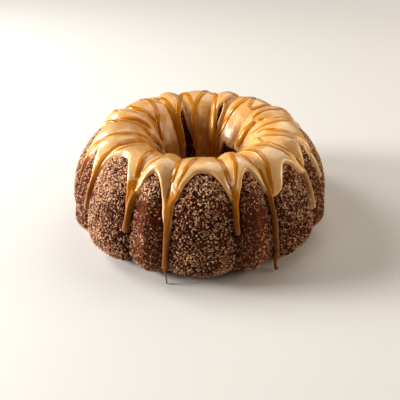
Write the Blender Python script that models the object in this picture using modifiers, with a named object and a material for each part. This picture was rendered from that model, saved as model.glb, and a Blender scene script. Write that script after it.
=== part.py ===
# Bundt cake: a fluted ring cake with a thick poured icing and a heavier drizzle over it.
# Metres, +Z up. The origin is on the ring's axis, at the level of the surface that it rests on.
# The ring is described by an angle (degrees, from -Y towards +X) and by a distance along the
# section, which starts at the outer edge of the flat foot, climbs the wall, crosses the crown
# and ends at the foot of the hole.
import bmesh
import bpy
import numpy as np

MM = 0.001

# Section of the bare cake, all in mm.
FOOT_RADIUS = 98.0
BELLY_RADIUS = 125.5
BELLY_HEIGHT = 22.0
CROWN_RADIUS = 78.0
CROWN_HEIGHT = 92.5
HOLE_RADIUS = 35.0
HOLE_EDGE_HEIGHT = 3.0
HOLE_CHAMFER = 4.5
WALL_POWER = 1.8
FUNNEL_POWER = 2.4

# Flutes: eight wide lobes with a narrow ridge between each two, in degrees and mm. The ring
# was turned out a little uneven, so its lobes are spread slightly towards -X and +X.
LOBES = 8
PITCH = 360.0 / LOBES
TWIST = 0.4
SPREAD = 1.1
WIDE_HALF = 14.1
NARROW_HALF = PITCH / 2 - WIDE_HALF
WIDE_ROUNDNESS = 2.4
NARROW_ROUNDNESS = 1.35
GROOVE_DEPTH = 7.0
GROOVE_DEEPENS = (0.0, 32.0)

# The grooves run on over the crown and down the hole, where they are shallower, and the narrow
# ridges stand a little prouder there than the wide lobes.
CROWN_DEPTH = 2.6
GROOVE_FADES = (84.0, 138.0)
RIDGE_RISE = 1.2
RIDGE_RISES = (88.0, 118.0)
RIDGE_FADES = (150.0, 200.0)

# Icing.
ICING_GAP = 0.45
ICING_THICKNESS = 2.5
SHOULDER = 97.0
INNER_EDGE = 208.0
INNER_WAVE = 3.0
INNER_WAVES = 5
ARCH_ROUNDNESS = 2.6

# Where the icing stops short in the hole: angle, half its width and how far it falls short.
INNER_GAPS = ((141.0, 11.0, 18.0), (-167.0, 9.0, 22.0), (-40.0, 12.0, 12.0), (78.0, 9.0, 15.0))

# Columns on each side of a lobe's middle, as fractions of the way to the next icing tongue.
WIDE_COLUMNS = (-0.68, -0.34, 0.0, 0.34, 0.68)
NARROW_COLUMNS = (0.0,)

# Rows of the section, as distances along it.
FOOT_ROWS = (0.0, 8.0, 17.0, 26.0)
WALL_ROWS = (36.0, 47.0, 58.0, 69.0, 80.0, 89.0)
CROWN_ROWS = (124.0, 132.0, 140.0, 148.0, 157.0, 174.0)
HOLE_ROWS = (226.0,)

# Icing tongues, one in each groove, from the left of the front lobe round towards +X: where the
# tongue ends, where it starts to widen (mm along the section), and how far its root reaches to
# its left and right (degrees).
TONGUES = (
    (36, 66, 4.2, 3.4), (58, 84, 2.0, 3.4), (36, 84, 2.6, 7.6), (58, 88, 5.0, 3.0),
    (69, 80, 3.0, 3.0), (80, 84, 3.4, 4.2), (58, 70, 4.4, 3.0), (80, 86, 2.6, 3.4),
    (47, 66, 3.4, 4.4), (80, 84, 4.6, 2.6), (58, 72, 3.0, 3.8), (69, 80, 4.2, 3.0),
    (69, 76, 3.4, 4.4), (80, 84, 3.0, 2.4), (58, 62, 5.0, 1.8), (58, 74, 3.6, 2.8),
)
TONGUE_HALF_TIP = 1.0

# How far the icing's edge climbs over each lobe, from the front lobe round towards +X.
ARCHES = (119, 117, 111, 115, 116, 112, 118, 116, 120, 117, 115, 113, 116, 112, 120, 119)

# Drizzle. Each strand is given by points (angle, distance along the section) and its radius.
# It stands out of the icing by its radius and this share of it more.
STRAND_LIFT = 0.35
STRAND_STEP = 13.0
STRAND_END = 0.6
CROWN_DEGREE = CROWN_RADIUS * np.pi / 180
STRANDS = (
    (((-52, 132), (-34, 122), (-32, 74)), 1.6),
    (((-27, 136), (-28, 122), (-33, 98)), 2.2),
    (((-14, 134), (-13, 118), (-14, 92), (-14, 44)), 1.6),
    (((-3, 138), (-6, 126), (-12, 103)), 1.9),
    (((12, 136), (13, 120), (16, 98)), 1.6),
    (((24, 138), (19, 121), (15.5, 98), (15, 72)), 1.6),
    (((28, 140), (30, 120), (32, 88), (32, 34)), 1.6),
    (((42, 146), (36, 125), (34, 92)), 2.2),
    (((62, 150), (54, 126), (59, 102)), 1.9),
    (((52, 148), (49, 125), (55, 100)), 1.6),
    (((84, 146), (76, 125), (77, 95)), 1.9),
    (((78, 146), (72, 125), (74, 112)), 1.6),
    (((112, 146), (98, 128), (96, 112)), 1.9),
    (((108, 160), (94, 138), (92, 118)), 1.6),
    (((128, 142), (120, 124), (122, 88)), 1.9),
    (((121, 150), (116, 132), (113, 118)), 1.6),
    (((140, 122), (144, 142), (150, 164), (154, 182)), 1.9),
    (((147, 116), (152, 130), (156, 146)), 2.2),
    (((167, 108), (166, 138), (163, 166), (160, 182)), 1.9),
    (((173, 112), (180, 134), (185, 158), (186, 182)), 1.9),
    (((192, 128), (187, 142), (184.5, 156)), 1.6),
    (((191, 112), (195, 138), (202, 156)), 1.6),
    (((211, 104), (211, 132), (206, 156), (208, 182)), 2.2),
    (((220, 120), (222, 144), (227, 168), (228, 180)), 1.6),
    (((236, 122), (232, 144), (227, 160)), 1.6),
    (((255, 132), (243, 150), (232, 172)), 1.9),
    (((258, 140), (246, 158), (244, 172)), 1.6),
    (((283, 92), (284, 124), (272, 150), (256, 162)), 1.9),
    (((302, 124), (292, 142), (272, 164)), 1.6),
    (((300, 78), (300, 112), (304, 136), (284, 156)), 1.9),
    (((98, 118), (105, 100), (106, 84)), 1.6),
    (((131, 124), (123, 104), (122, 66)), 1.6),
    (((153, 122), (150, 104), (149, 86)), 1.9),
    (((176, 126), (167, 106), (166, 54)), 1.6),
    (((203, 120), (195, 102), (194, 86)), 1.6),
    (((222, 126), (212, 106), (211, 64)), 1.9),
    (((242, 122), (239, 104), (238, 76)), 1.6),
    (((266, 132), (256, 108), (255, 76)), 1.9),
)


def clear_scene():
    for thing in list(bpy.data.objects):
        bpy.data.objects.remove(thing)


def smooth_step(start, end, value):
    t = np.clip((value - start) / (end - start), 0.0, 1.0)
    return t * t * (3 - 2 * t)


def section_table():
    """Radius and height of the bare section against the distance along it."""
    turn = np.linspace(0, np.pi / 2, 400)
    sine, cosine = np.sin(turn), np.cos(turn)
    foot = (FOOT_RADIUS + (BELLY_RADIUS - FOOT_RADIUS) * sine,
            BELLY_HEIGHT * (1 - cosine))
    wall = (CROWN_RADIUS + (BELLY_RADIUS - CROWN_RADIUS) * cosine ** (2 / WALL_POWER),
            BELLY_HEIGHT + (CROWN_HEIGHT - BELLY_HEIGHT) * sine ** (2 / WALL_POWER))
    funnel = (CROWN_RADIUS - (CROWN_RADIUS - HOLE_RADIUS) * sine ** (2 / FUNNEL_POWER),
              HOLE_EDGE_HEIGHT + (CROWN_HEIGHT - HOLE_EDGE_HEIGHT) * cosine ** (2 / FUNNEL_POWER))
    radius = np.concatenate([foot[0], wall[0][1:], funnel[0][1:]])
    height = np.concatenate([foot[1], wall[1][1:], funnel[1][1:]])
    along = np.concatenate([[0.0], np.cumsum(np.hypot(np.diff(radius), np.diff(height)))])
    return along, radius, height


ALONG, RADIUS, HEIGHT = section_table()


def spread_angle(even):
    """The real angle of a place that an even ring would have at this angle."""
    return even + TWIST + SPREAD * np.sin(np.radians(even))


def even_angle(angle):
    return angle - TWIST - SPREAD * np.sin(np.radians(angle - TWIST))


def flute_depth(angle, along):
    """How far the surface lies inside the section, most of all in the grooves."""
    from_wide = np.abs((even_angle(angle) + PITCH / 2) % PITCH - PITCH / 2)
    wide = (from_wide / WIDE_HALF) ** WIDE_ROUNDNESS
    narrow = (np.abs(PITCH / 2 - from_wide) / NARROW_HALF) ** NARROW_ROUNDNESS
    shallower = (GROOVE_DEPTH - CROWN_DEPTH) * smooth_step(*GROOVE_FADES, along)
    depth = GROOVE_DEPTH * smooth_step(*GROOVE_DEEPENS, along) - shallower
    proud = RIDGE_RISE * smooth_step(*RIDGE_RISES, along) * (1 - smooth_step(*RIDGE_FADES, along))
    in_wide = from_wide < WIDE_HALF
    return np.where(in_wide, wide, narrow) * depth - np.where(in_wide, 0.0, 1 - narrow) * proud


def surface(angle, along, lift=0.0):
    """Points in metres, at a lift in mm along the section's normal."""
    before, after = along - 1.5, along + 1.5
    run = np.interp(after, ALONG, RADIUS) - np.interp(before, ALONG, RADIUS)
    rise = np.interp(after, ALONG, HEIGHT) - np.interp(before, ALONG, HEIGHT)
    offset = (lift - flute_depth(angle, along)) / np.hypot(run, rise)
    radius = np.interp(along, ALONG, RADIUS) + offset * rise
    height = np.interp(along, ALONG, HEIGHT) - offset * run
    turn = np.radians(angle)
    points = np.stack([radius * np.sin(turn), -radius * np.cos(turn), height], axis=-1)
    return points * MM


def tongue_side(along, neck, reach):
    """How far a tongue's side is from its middle in degrees, slender up to the neck."""
    spread = smooth_step(neck, SHOULDER + 6, along)
    return TONGUE_HALF_TIP + (reach - TONGUE_HALF_TIP) * spread


def inner_edge(angle):
    """Where the icing ends in the hole, as a distance along the section."""
    edge = INNER_EDGE + INNER_WAVE * np.sin(np.radians(angle) * INNER_WAVES)
    for middle, half, short in INNER_GAPS:
        away = np.abs((angle - middle + 180) % 360 - 180)
        edge = edge - short * (1 - smooth_step(half / 2, half, away))
    return edge


def grid():
    """Angles and distances of the cake's whole grid, columns by rows, and the tongues' columns.

    Three columns follow each groove, on its tongue's two sides and its middle, and the row
    at the icing's edge arches over each lobe between them.
    """
    rows = np.array(FOOT_ROWS + WALL_ROWS + (SHOULDER,) + CROWN_ROWS + (INNER_EDGE,) + HOLE_ROWS
                    + (ALONG[-1],))
    edge = len(FOOT_ROWS) + len(WALL_ROWS)
    inner = edge + 1 + len(CROWN_ROWS)
    angles, alongs, middles = [], [], []
    for lobe in range(2 * LOBES):
        is_wide = lobe % 2 == 0
        centre = lobe * PITCH / 2
        half = WIDE_HALF if is_wide else NARROW_HALF
        left, right = TONGUES[lobe], TONGUES[(lobe + 1) % len(TONGUES)]
        from_left = centre - half + tongue_side(rows, left[1], left[3])
        to_right = centre + half - tongue_side(rows, right[1], right[2])
        middles.append(len(angles))
        for place in (None, -1.0, *(WIDE_COLUMNS if is_wide else NARROW_COLUMNS), 1.0):
            along = rows.copy()
            if place is None:
                angle = np.full_like(rows, centre - half)
            else:
                angle = from_left + (to_right - from_left) * (place + 1) / 2
                climb = (ARCHES[lobe] - SHOULDER) * (1 - abs(place) ** ARCH_ROUNDNESS)
                along[edge] = SHOULDER + climb
            angle = spread_angle(angle)
            along[inner] = inner_edge(angle[inner])
            angles.append(angle)
            alongs.append(along)
    return np.array(angles), np.array(alongs), middles, edge, inner


def ring(name, angles, alongs, lift):
    """A torus whose vertices are moved to the grid, closed by a row at the foot of the hole."""
    points = surface(angles, alongs, lift)
    foot = points[:, -1:, :].copy()
    outward = foot[..., :2] / np.linalg.norm(foot[..., :2], axis=-1, keepdims=True)
    foot[..., :2] = outward * (HOLE_RADIUS + HOLE_CHAMFER) * MM
    foot[..., 2] = 0.0
    points = np.concatenate([points, foot], axis=1)
    bpy.ops.mesh.primitive_torus_add(major_segments=points.shape[0], minor_segments=points.shape[1])
    body = bpy.context.object
    body.name = name
    body.data.vertices.foreach_set("co", points.astype(np.float32).ravel())
    body.data.update()
    split_alike(body)
    return body


def material(name, colour, roughness):
    paint = bpy.data.materials.new(name)
    paint.use_nodes = True
    shader = paint.node_tree.nodes["Principled BSDF"]
    shader.inputs["Base Color"].default_value = (*colour, 1)
    shader.inputs["Roughness"].default_value = roughness
    shader.inputs["Metallic"].default_value = 0.0
    return paint


def split_alike(body):
    """Splits every quad the same way, so that the icing's underside follows the cake's facets."""
    mesh = bmesh.new()
    mesh.from_mesh(body.data)
    bmesh.ops.triangulate(mesh, faces=mesh.faces[:], quad_method="FIXED")
    mesh.to_mesh(body.data)
    mesh.free()


def make_cake(angles, alongs):
    body = ring("cake", angles, alongs, 0.0)
    body.data.materials.append(material("crust", (0.16, 0.07, 0.035), 0.85))
    return body


def cell_start(places):
    """The first of two neighbouring places on a ring, where place 0 comes after the last."""
    low, high = min(places), max(places)
    return high if high - low > 1 else low


def make_icing(angles, alongs, middles, edge, inner):
    """The iced part of the cake's own grid, lifted off it and given its thickness."""
    body = ring("icing", angles, alongs, ICING_GAP)
    columns, rows = angles.shape[0], angles.shape[1] + 1
    iced = np.zeros((columns, rows), dtype=bool)
    iced[:, edge:inner] = True
    for middle, tongue in zip(middles, TONGUES):
        tip = np.searchsorted(alongs[middle], tongue[0])
        iced[[middle - 1, middle], tip:edge] = True
    mesh = bmesh.new()
    mesh.from_mesh(body.data)
    bare = []
    for face in mesh.faces:
        column = cell_start([vertex.index // rows for vertex in face.verts])
        row = cell_start([vertex.index % rows for vertex in face.verts])
        if not iced[column, row]:
            bare.append(face)
    bmesh.ops.delete(mesh, geom=bare, context="FACES")
    mesh.to_mesh(body.data)
    mesh.free()
    shell = body.modifiers.new("thickness", "SOLIDIFY")
    shell.thickness = ICING_THICKNESS * MM
    shell.offset = 1.0
    shell.use_even_offset = True
    body.data.materials.append(material("icing", (0.72, 0.47, 0.24), 0.3))
    return body


def strand_path(points):
    """A smooth route through the points, in equal steps along its length."""
    knots = np.array(points, dtype=float)
    steps = np.hypot(np.diff(knots[:, 0]) * CROWN_DEGREE, np.diff(knots[:, 1]))
    at = np.concatenate([[0.0], np.cumsum(steps)])
    slopes = np.gradient(knots, at, axis=0)
    count = max(4, int(round(at[-1] / STRAND_STEP)) + 1)
    where = np.linspace(0.0, at[-1], count)
    piece = np.clip(np.searchsorted(at, where, side="right") - 1, 0, len(at) - 2)
    span = at[piece + 1] - at[piece]
    t = ((where - at[piece]) / span)[:, None]
    start, end = knots[piece], knots[piece + 1]
    leave, arrive = slopes[piece] * span[:, None], slopes[piece + 1] * span[:, None]
    return ((2 * t**3 - 3 * t**2 + 1) * start + (t**3 - 2 * t**2 + t) * leave
            + (3 * t**2 - 2 * t**3) * end + (t**3 - t**2) * arrive)


def make_strand(index, points, radius):
    """One strand of drizzle, a bead partly sunk in the icing."""
    path = strand_path(points)
    lift = ICING_GAP + ICING_THICKNESS + radius * STRAND_LIFT
    places = surface(path[:, 0], path[:, 1], lift)
    outline = bpy.data.curves.new(f"strand_{index}", "CURVE")
    outline.dimensions = "3D"
    outline.bevel_depth = radius * MM
    outline.bevel_resolution = 1
    outline.use_fill_caps = True
    spline = outline.splines.new("POLY")
    spline.points.add(len(places) - 1)
    for point, place in zip(spline.points, places):
        point.co = (*place, 1)
    spline.points[0].radius = STRAND_END
    spline.points[-1].radius = STRAND_END
    curve = bpy.data.objects.new(f"strand_{index}", outline)
    bpy.context.scene.collection.objects.link(curve)
    view = bpy.context.evaluated_depsgraph_get()
    mesh = bpy.data.meshes.new_from_object(curve.evaluated_get(view))
    welded = bmesh.new()
    welded.from_mesh(mesh)
    bmesh.ops.remove_doubles(welded, verts=welded.verts[:], dist=0.01 * MM)
    welded.to_mesh(mesh)
    welded.free()
    strand = bpy.data.objects.new(f"strand_{index}", mesh)
    strand.matrix_world = curve.matrix_world
    bpy.data.objects.remove(curve)
    return strand


def fuse_drizzle(icing):
    """Joins the strands to the icing with one union."""
    drizzle = bpy.data.collections.new("drizzle")
    bpy.context.scene.collection.children.link(drizzle)
    for index, (points, radius) in enumerate(STRANDS):
        drizzle.objects.link(make_strand(index, points, radius))
    union = icing.modifiers.new("drizzle", "BOOLEAN")
    union.operation = "UNION"
    union.operand_type = "COLLECTION"
    union.collection = drizzle
    union.solver = "MANIFOLD"
    bpy.context.view_layer.objects.active = icing
    for name in [modifier.name for modifier in icing.modifiers]:
        bpy.ops.object.modifier_apply(modifier=name)
    for strand in list(drizzle.objects):
        bpy.data.objects.remove(strand)


clear_scene()
model = bpy.data.collections.new("bundt_cake")
bpy.context.scene.collection.children.link(model)
column_angles, row_alongs, groove_columns, edge_row, inner_row = grid()
cake = make_cake(column_angles, row_alongs)
icing = make_icing(column_angles, row_alongs, groove_columns, edge_row, inner_row)
fuse_drizzle(icing)
for piece in (cake, icing):
    for owner in list(piece.users_collection):
        owner.objects.unlink(piece)
    model.objects.link(piece)
    piece.data.shade_smooth()
    piece.data.set_sharp_from_angle(angle=np.radians(50))
    print(piece.name, len(piece.data.polygons))
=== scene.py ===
import bpy
import numpy as np
from mathutils import Matrix, Vector


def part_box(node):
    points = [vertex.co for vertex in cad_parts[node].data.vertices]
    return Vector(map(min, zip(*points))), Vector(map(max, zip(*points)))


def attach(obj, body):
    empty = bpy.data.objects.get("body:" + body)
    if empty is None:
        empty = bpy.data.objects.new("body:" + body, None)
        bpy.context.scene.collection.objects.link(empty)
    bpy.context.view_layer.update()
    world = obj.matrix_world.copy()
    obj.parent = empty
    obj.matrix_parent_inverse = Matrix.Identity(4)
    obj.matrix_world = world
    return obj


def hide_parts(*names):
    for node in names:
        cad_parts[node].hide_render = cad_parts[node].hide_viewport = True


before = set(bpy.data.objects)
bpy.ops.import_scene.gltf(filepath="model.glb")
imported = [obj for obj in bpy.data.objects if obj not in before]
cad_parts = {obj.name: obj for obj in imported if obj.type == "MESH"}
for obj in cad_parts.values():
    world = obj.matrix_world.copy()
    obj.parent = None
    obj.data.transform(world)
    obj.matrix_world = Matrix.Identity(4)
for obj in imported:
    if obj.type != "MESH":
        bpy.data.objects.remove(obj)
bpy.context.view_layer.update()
cakeLow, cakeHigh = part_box("cake")
mm = 0.001

ring = {
    "footRadius": 98.0,
    "bellyRadius": 0.5 * (cakeHigh[1] - cakeLow[1]) / mm,
    "bellyHeight": 22.0,
    "crownRadius": 78.0,
    "crownHeight": cakeHigh[2] / mm,
    "holeRadius": 35.0,
    "holeEdgeHeight": 3.0,
    "holeChamfer": 4.5,
    "wallPower": 1.8,
    "funnelPower": 2.4,
    "samples": 600,            # of each of the section's three curves
    "eased": 1.5,              # mm each way over which the section's direction is taken
}
flutes = {
    "pitch": 45.0,
    "twist": 0.4,              # the whole pattern, turned
    "spread": 1.1,             # and drawn out a little towards -X and +X
    "wideHalf": 14.1,
    "wideRoundness": 2.4,
    "narrowRoundness": 1.12,
    "crownRounder": 0.6,       # how much rounder the narrow ridges are over the crown
    "crownRounds": (85.0, 108.0),
    "grooveDepth": 7.0,
    "grooveDeepens": (0.0, 32.0),
    "crownDepth": 2.6,         # what is left of the grooves over the crown and in the hole
    "grooveFades": (84.0, 138.0),
    "ridgeRise": 1.2,          # how far the narrow ridges stand proud over the crown
    "ridgeRises": (88.0, 118.0),
    "ridgeFades": (150.0, 200.0),
}


def smoothStep(start, end, value):
    t = np.clip((value - start) / (end - start), 0.0, 1.0)
    return t * t * (3 - 2 * t)


# The section: a quarter ellipse for the foot's curl, a superellipse up the wall and another
# down the funnel, measured by their length.
def sectionTable():
    turn = np.linspace(0, np.pi / 2, ring["samples"])
    sine, cosine = np.sin(turn), np.cos(turn)
    wallPower, funnelPower = 2 / ring["wallPower"], 2 / ring["funnelPower"]
    reach = ring["bellyRadius"] - ring["footRadius"]
    shoulder = ring["bellyRadius"] - ring["crownRadius"]
    throat = ring["crownRadius"] - ring["holeRadius"]
    climb = ring["crownHeight"] - ring["bellyHeight"]
    drop = ring["crownHeight"] - ring["holeEdgeHeight"]
    radius = np.concatenate([
        ring["footRadius"] + reach * sine,
        ring["crownRadius"] + shoulder * cosine[1:] ** wallPower,
        ring["crownRadius"] - throat * sine[1:] ** funnelPower,
    ])
    height = np.concatenate([
        ring["bellyHeight"] * (1 - cosine),
        ring["bellyHeight"] + climb * sine[1:] ** wallPower,
        ring["holeEdgeHeight"] + drop * cosine[1:] ** funnelPower,
    ])
    along = np.concatenate([[0.0], np.cumsum(np.hypot(np.diff(radius), np.diff(height)))])
    return along, radius, height


tableAlong, tableRadius, tableHeight = sectionTable()
sectionLength = tableAlong[-1]


def radiusAt(along):
    return np.interp(along, tableAlong, tableRadius)


def heightAt(along):
    return np.interp(along, tableAlong, tableHeight)


# The place on an even ring that a place on the real, uneven one belongs to.
def evenAngle(angle):
    turned = angle - flutes["twist"]
    return turned - flutes["spread"] * np.sin(np.radians(turned))


# Angles, or differences of angles, brought to between -180 and 180 degrees.
def around(angle):
    return (angle + 180) % 360 - 180


# How far the surface lies inside the section: a power of the distance from a lobe's middle for
# the wide lobes and nearly straight flanks for the narrow ridges. The grooves grow shallower
# over the crown, where the narrow ridges stand a little proud.
def fluteDepth(angle, along):
    half = flutes["pitch"] / 2
    fromWide = np.abs((evenAngle(angle) + half) % flutes["pitch"] - half)
    wide = (fromWide / flutes["wideHalf"]) ** flutes["wideRoundness"]
    rounder = flutes["crownRounder"] * smoothStep(*flutes["crownRounds"], along)
    roundness = flutes["narrowRoundness"] + rounder
    narrow = (np.abs(half - fromWide) / (half - flutes["wideHalf"])) ** roundness
    depth = flutes["grooveDepth"] * smoothStep(*flutes["grooveDeepens"], along)
    shallower = flutes["grooveDepth"] - flutes["crownDepth"]
    depth = depth - shallower * smoothStep(*flutes["grooveFades"], along)
    proud = flutes["ridgeRise"] * smoothStep(*flutes["ridgeRises"], along)
    proud = proud * (1 - smoothStep(*flutes["ridgeFades"], along))
    inWide = fromWide < flutes["wideHalf"]
    return np.where(inWide, wide, narrow) * depth - np.where(inWide, 0.0, 1 - narrow) * proud


# Points from an angle, a distance from the axis and a height.
def placed(angle, radius, height):
    turn = np.radians(angle)
    return np.stack([radius * np.sin(turn), -radius * np.cos(turn), height], axis=-1)


# Points at a lift above the bare cake's surface, along the section's normal.
def surfacePoint(angle, along, lift=0.0):
    before, after = along - ring["eased"], along + ring["eased"]
    run = radiusAt(after) - radiusAt(before)
    rise = heightAt(after) - heightAt(before)
    offset = (lift - fluteDepth(angle, along)) / np.hypot(run, rise)
    radius = radiusAt(along) + offset * rise
    return placed(angle, radius, heightAt(along) - offset * run)


def unit(vectors):
    return vectors / np.maximum(np.linalg.norm(vectors, axis=-1, keepdims=True), 1e-9)


# The surface's own outward direction, grooves included.
def surfaceNormal(angle, along):
    turn, slide = 0.2, 0.4     # degrees and mm each way
    across = surfacePoint(angle + turn, along) - surfacePoint(angle - turn, along)
    up = surfacePoint(angle, along + slide) - surfacePoint(angle, along - slide)
    return unit(np.cross(across, up))


# Random values on the corners of a cubic lattice, blended smoothly inside each cube: -1 to 1.
def smoothNoise(points, size, seed):
    side, shift = 32, 200.0    # of the lattice, and a shift that keeps every place above zero
    table = np.random.default_rng(seed).random((side, side, side)) * 2 - 1
    place = points / size + shift
    corner = np.floor(place).astype(int)
    share = place - corner
    share = share * share * (3 - 2 * share)
    total = np.zeros(points.shape[:-1])
    for dx in (0, 1):
        for dy in (0, 1):
            for dz in (0, 1):
                weight = np.where(dx, share[..., 0], 1 - share[..., 0])
                weight = weight * np.where(dy, share[..., 1], 1 - share[..., 1])
                weight = weight * np.where(dz, share[..., 2], 1 - share[..., 2])
                cell = (corner + (dx, dy, dz)) % side
                total = total + weight * table[cell[..., 0], cell[..., 1], cell[..., 2]]
    return total


def makePiece(name, points, faceSets):
    mesh = bpy.data.meshes.new(name)
    mesh.vertices.add(len(points))
    mesh.vertices.foreach_set("co", (points * mm).astype(np.float32).ravel())
    corners = np.concatenate([faces.ravel() for faces in faceSets]).astype(np.int32)
    sizes = np.concatenate([np.full(len(faces), faces.shape[1]) for faces in faceSets])
    starts = np.concatenate([[0], np.cumsum(sizes)[:-1]]).astype(np.int32)
    mesh.loops.add(len(corners))
    mesh.loops.foreach_set("vertex_index", corners)
    mesh.polygons.add(len(sizes))
    mesh.polygons.foreach_set("loop_start", starts)
    mesh.update(calc_edges=True)
    piece = bpy.data.objects.new(name, mesh)
    bpy.context.scene.collection.objects.link(piece)
    return piece


def storeNumbers(piece, name, values):
    layer = piece.data.attributes.new(name, "FLOAT", "POINT")
    layer.data.foreach_set("value", np.asarray(values, dtype=np.float32).ravel())


# Corner indices of a grid's cells, columns by rows, closed round the ring and, where it is
# asked for, also along the section.
def ringCells(columns, rows, closeRows):
    column = np.arange(columns)[:, None]
    row = np.arange(rows if closeRows else rows - 1)[None, :]
    nextColumn, nextRow = (column + 1) % columns, (row + 1) % rows
    here, beside = column * rows, nextColumn * rows
    cells = [here + row, beside + row, beside + nextRow, here + nextRow]
    return np.stack(np.broadcast_arrays(*cells), axis=-1)


# Shader maths: a wrapped socket takes Python's operators, and every other node comes from
# Nodes.node, which sets the node's settings first and then its sockets.
class Value:
    def __init__(self, nodes, socket):
        self.nodes, self.socket = nodes, socket

    def maths(self, operation, first, second):
        return self.nodes.node("ShaderNodeMath", {"operation": operation}, {0: first, 1: second})

    def __add__(self, other):
        return self.maths("ADD", self, other)

    def __sub__(self, other):
        return self.maths("SUBTRACT", self, other)

    def __mul__(self, other):
        return self.maths("MULTIPLY", self, other)

    def __rsub__(self, other):
        return self.maths("SUBTRACT", other, self)

    __radd__, __rmul__ = __add__, __mul__


class Nodes:
    def __init__(self, tree, shader):
        self.tree, self.shader = tree, tree.nodes[shader]

    def node(self, kind, settings, sockets, output=0):
        made = self.tree.nodes.new(kind)
        for label, value in settings.items():
            setattr(made, label, value)
        for label, value in sockets.items():
            if isinstance(value, Value):
                self.tree.links.new(value.socket, made.inputs[label])
            elif isinstance(value, tuple):     # a colour
                made.inputs[label].default_value = (*value, 1)
            else:
                made.inputs[label].default_value = value
        return Value(self, made.outputs[output])

    def mix(self, share, first, second):
        sockets = {0: share, 6: first, 7: second}
        return self.node("ShaderNodeMix", {"data_type": "RGBA"}, sockets, 2)

    def feed(self, label, value):
        self.tree.links.new(value.socket, self.shader.inputs[label])


class Finish(Nodes):
    def __init__(self, name, **fixed):
        self.material = bpy.data.materials.new(name)
        self.material.use_nodes = True
        super().__init__(self.material.node_tree, "Principled BSDF")
        for label, value in fixed.items():
            self.shader.inputs[label.replace("_", " ")].default_value = value
        self.place = self.node("ShaderNodeTexCoord", {}, {}, "Object")

    def noise(self, size, detail=2.0, rough=0.5):
        sockets = {"Vector": self.place, "Scale": 1 / (size * mm)}
        sockets.update({"Detail": detail, "Roughness": rough})
        return self.node("ShaderNodeTexNoise", {}, sockets)

    def band(self, value, low, high):
        sockets = {0: value, 1: low, 2: high, 3: 0.0, 4: 1.0}
        return self.node("ShaderNodeMapRange", {"interpolation_type": "SMOOTHSTEP"}, sockets)

    def attribute(self, name):
        return self.node("ShaderNodeAttribute", {"attribute_name": name}, {}, "Fac")

    def bump(self, height, distance):
        sockets = {"Height": height, "Distance": distance * mm}
        self.feed("Normal", self.node("ShaderNodeBump", {}, sockets))


# What every finished piece gets: its material, its slot, and the solid that it stands for.
def dress(piece, finish, replaced=None, smooth=True):
    piece.data.materials.append(finish.material)
    if smooth:
        piece.data.shade_smooth()
    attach(piece, "root")
    if replaced:
        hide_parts(replaced)
    return piece


# The bare cake.
crust = {
    "columns": 880,
    "rowSteps": ((0.0, 120.0, 1.9), (120.0, 145.0, 5.0), (145.0, 1e3, 2.8)),   # from, to, step
    "footCircles": (60.0, 80.0),      # corners across the flat foot lie on these radii
    "relief": ((13.0, 0.35, 1), (5.0, 0.22, 2), (2.4, 0.22, 3)),   # size, height, seed
    "sink": 0.2,                      # how far the rough surface lies inside the even one
    "reliefStarts": (1.0, 12.0),
    "reliefEnds": 6.0,                # before the foot of the hole
    "dark": (0.020, 0.0024, 0.0006),
    "warm": (0.12, 0.018, 0.004),
    "pale": (0.75, 0.24, 0.075),
    "ridge": (0.30, 0.075, 0.022),    # shows on the narrow ridges, which carry less sugar
    "margin": 2.2,                    # a painted shadow: the dark line under the icing's edge, mm wide
    "sugarAndLightLow": 0.5,                  # the wall's share of the sugar and painted light, which grows to one higher up
    "sugarAndLightGrows": (72.0, 104.0),
    "sugaredAndLit": (-52.0, 20.0, 0.45),   # painted light: the side with more sugar and light: where, how wide, how much more
    # painted shade: less of the share in the grooves and in the hole
    "lessInGroove": 0.6,
    "lessInHole": 0.6,
    "lessOnRidge": 0.35,
    "grooveEnds": (118.0, 130.0),
    "holeStarts": (135.0, 150.0),
    "ridgeStarts": (25.0, 45.0),
    "ridgeEnds": (88.0, 104.0),
    "ridgeTop": 1.5,                  # degrees from a ridge's top line to where its share is one
}


# Places along a section, from ranges of even steps.
def stepped(ranges, end):
    places = []
    for start, stop, step in ranges:
        stop = min(stop, end)
        places.extend(np.linspace(start, stop, max(2, int(round((stop - start) / step)) + 1))[:-1])
    return np.array(places + [end])


# How much sugar lies on the crust, with painted light and shade in the same share: most on the
# lobes' shoulders and on the front-left side, which face the light, and little low on the wall,
# in the grooves and in the hole, where shade falls. The narrow ridges carry less sugar.
def sugarAndLightShare(angle, along):
    groove = np.clip(fluteDepth(angle, along) / flutes["grooveDepth"], 0, 1)
    groove = groove * (1 - smoothStep(*crust["grooveEnds"], along))
    inHole = smoothStep(*crust["holeStarts"], along)
    share = crust["sugarAndLightLow"] + (1 - crust["sugarAndLightLow"]) * smoothStep(*crust["sugarAndLightGrows"], along)
    # Painted shade in the grooves and in the hole.
    share = share * (1 - crust["lessInGroove"] * groove) * (1 - crust["lessInHole"] * inHole)
    # Painted light on the front-left side, which faces the light.
    side, width, more = crust["sugaredAndLit"]
    share = np.minimum(share * (1 + more * np.exp(-(around(angle - side) / width) ** 2)), 1)
    less = crust["lessOnRidge"] * ridgeShare(angle, along)
    return share * (1 - less * smoothStep(*crust["ridgeStarts"], along))


# How near a place is to the top line of a narrow ridge: one on it, nothing in the grooves.
def ridgeShare(angle, along):
    half = flutes["pitch"] / 2
    fromNarrow = np.abs(half - np.abs((evenAngle(angle) + half) % flutes["pitch"] - half))
    share = smoothStep(half - flutes["wideHalf"], crust["ridgeTop"], fromNarrow)
    return share * (1 - smoothStep(*crust["ridgeEnds"], along))


# The crust's roughness in mm, smooth noise of three sizes, faded out at the flat foot.
def crustRelief(angle, along):
    points = surfacePoint(angle, along)
    relief = sum(height * smoothNoise(points, size, seed) for size, height, seed in crust["relief"])
    starts = smoothStep(*crust["reliefStarts"], along)
    ends = smoothStep(sectionLength - crust["reliefEnds"], sectionLength, along)
    return (relief - crust["sink"]) * starts * (1 - ends)


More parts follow.
